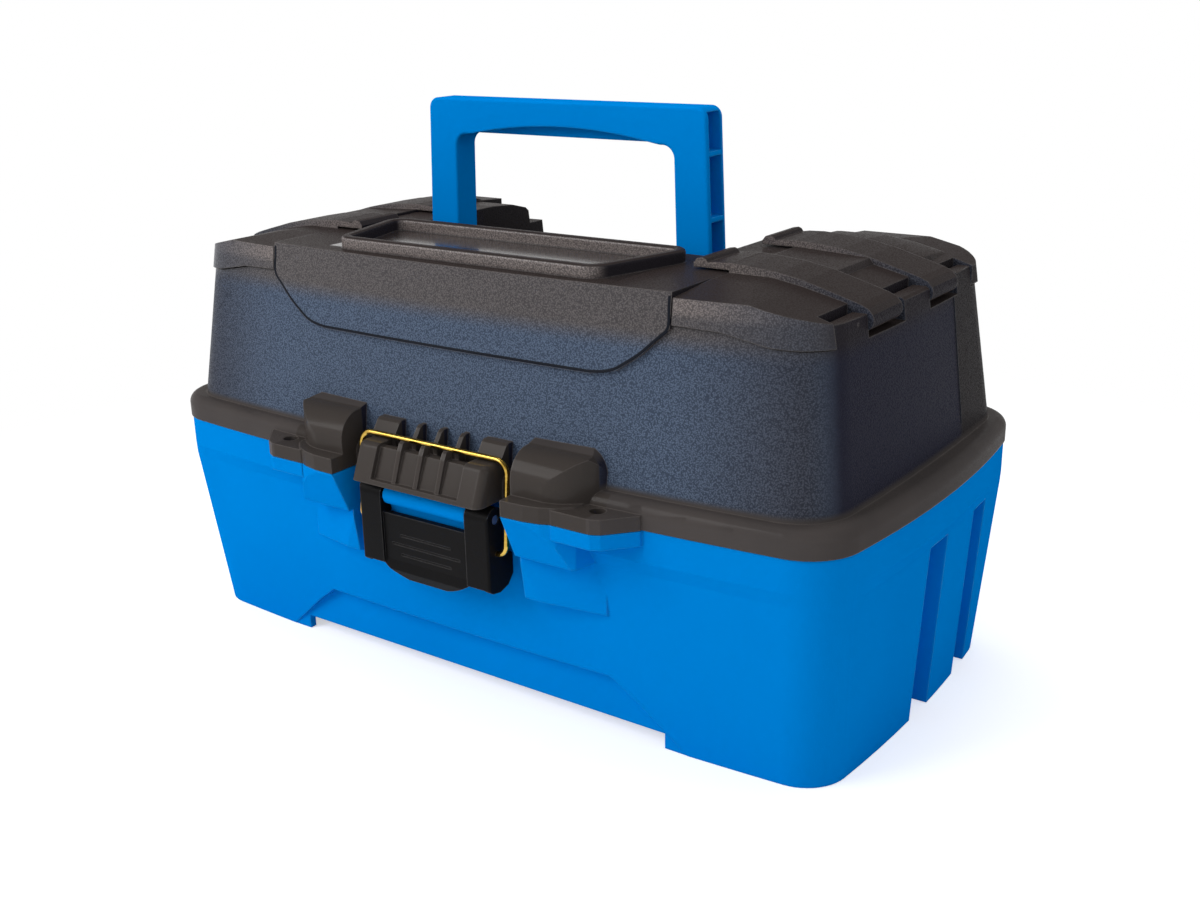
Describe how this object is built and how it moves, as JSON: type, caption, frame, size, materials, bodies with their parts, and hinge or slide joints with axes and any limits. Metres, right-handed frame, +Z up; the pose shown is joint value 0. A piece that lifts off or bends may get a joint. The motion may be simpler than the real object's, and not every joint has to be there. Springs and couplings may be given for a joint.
{
  "type": "tackle box",
  "caption": "Tackle box with a blue tub, smoke lid, folding handle, two doors in the lid, a wire draw latch and trays that step out as the lid opens.",
  "frame": {"origin": "middle of the footprint, on the ground under the case", "axes": "+X to the right end, +Y to the hinge side, +Z up; the latch faces -Y"},
  "size_m": [0.38, 0.2374, 0.2565],
  "materials": {
    "tub_blue": "fine grain",
    "lid_smoke": "leather grain",
    "lever_black": "fine grain",
    "bail_brass": "polished",
    "pin_steel": "drawn",
    "tray_blue": "satin",
    "divider_clear": "satin",
    "arm_grey": "satin"
  },
  "bodies": {
    "base": {"base_tub": "tub_blue", "hinge_pins": "pin_steel", "latch_pivot_pin": "pin_steel", "arm_base_rivets": "pin_steel"},
    "lid": {"lid_shell": "lid_smoke", "door_hinge_pins": "pin_steel", "handle_pivot_pins": "pin_steel"},
    "left_door": {"left_access_door": "lid_smoke"},
    "right_door": {"right_access_door": "lid_smoke"},
    "handle": {"carry_handle": "tub_blue"},
    "lever": {"latch_lever": "lever_black"},
    "bail": {"latch_bail": "bail_brass"},
    "front_arms": {"front_arm_left": "arm_grey", "front_arm_right": "arm_grey"},
    "rear_arms": {"rear_arm_left": "arm_grey", "rear_arm_right": "arm_grey"},
    "lower_tray_body": {"lower_tray": "tray_blue", "lower_tray_dividers": "divider_clear", "lower_tray_rivets": "pin_steel"},
    "upper_tray_body": {"upper_tray": "tray_blue", "upper_tray_dividers": "divider_clear", "upper_tray_rivets": "pin_steel"}
  },
  "joints": [
    {"name": "lid_hinge", "type": "hinge", "parent": "base", "child": "lid", "pos_m": [0, 0.1108, 0.1032], "axis": [-1, 0, 0], "range_deg": [0, 100]},
    {"name": "front_arm_pivot", "type": "hinge", "parent": "base", "child": "front_arms", "pos_m": [0, 0.03, 0.097], "axis": [-1, 0, 0], "range_deg": [0, 100]},
    {"name": "rear_arm_pivot", "type": "hinge", "parent": "base", "child": "rear_arms", "pos_m": [0, 0.06, 0.087], "axis": [-1, 0, 0], "range_deg": [0, 100]},
    {"name": "lower_tray_pivot", "type": "hinge", "parent": "front_arms", "child": "lower_tray_body", "pos_m": [0, -0.0164, 0.1064], "axis": [-1, 0, 0], "range_deg": [-100, 0]},
    {"name": "upper_tray_pivot", "type": "hinge", "parent": "front_arms", "child": "upper_tray_body", "pos_m": [0, -0.0628, 0.1158], "axis": [-1, 0, 0], "range_deg": [-100, 0]},
    {"name": "left_door_hinge", "type": "hinge", "parent": "lid", "child": "left_door", "pos_m": [-0.1682, 0, 0.1836], "axis": [0, -1, 0], "range_deg": [0, 105]},
    {"name": "right_door_hinge", "type": "hinge", "parent": "lid", "child": "right_door", "pos_m": [0.1682, 0, 0.1836], "axis": [0, 1, 0], "range_deg": [0, 105]},
    {"name": "handle_fold", "type": "hinge", "parent": "lid", "child": "handle", "pos_m": [0, -0.0028, 0.182], "axis": [-1, 0, 0], "range_deg": [0, 90]},
    {"name": "latch_lever_pivot", "type": "hinge", "parent": "base", "child": "lever", "pos_m": [0, -0.1103, 0.096], "axis": [-1, 0, 0], "range_deg": [0, 95]},
    {"name": "latch_bail_pivot", "type": "hinge", "parent": "lever", "child": "bail", "pos_m": [0, -0.1098, 0.0806], "axis": [-1, 0, 0], "range_deg": [-66.5, 0]}
  ],
  "couplings": [
    {"joint": "front_arm_pivot", "follows": "lid_hinge", "ratio": 1},
    {"joint": "rear_arm_pivot", "follows": "lid_hinge", "ratio": 1},
    {"joint": "lower_tray_pivot", "follows": "lid_hinge", "ratio": -1},
    {"joint": "upper_tray_pivot", "follows": "lid_hinge", "ratio": -1},
    {"joint": "latch_bail_pivot", "follows": "latch_lever_pivot", "ratio": -0.7}
  ]
}
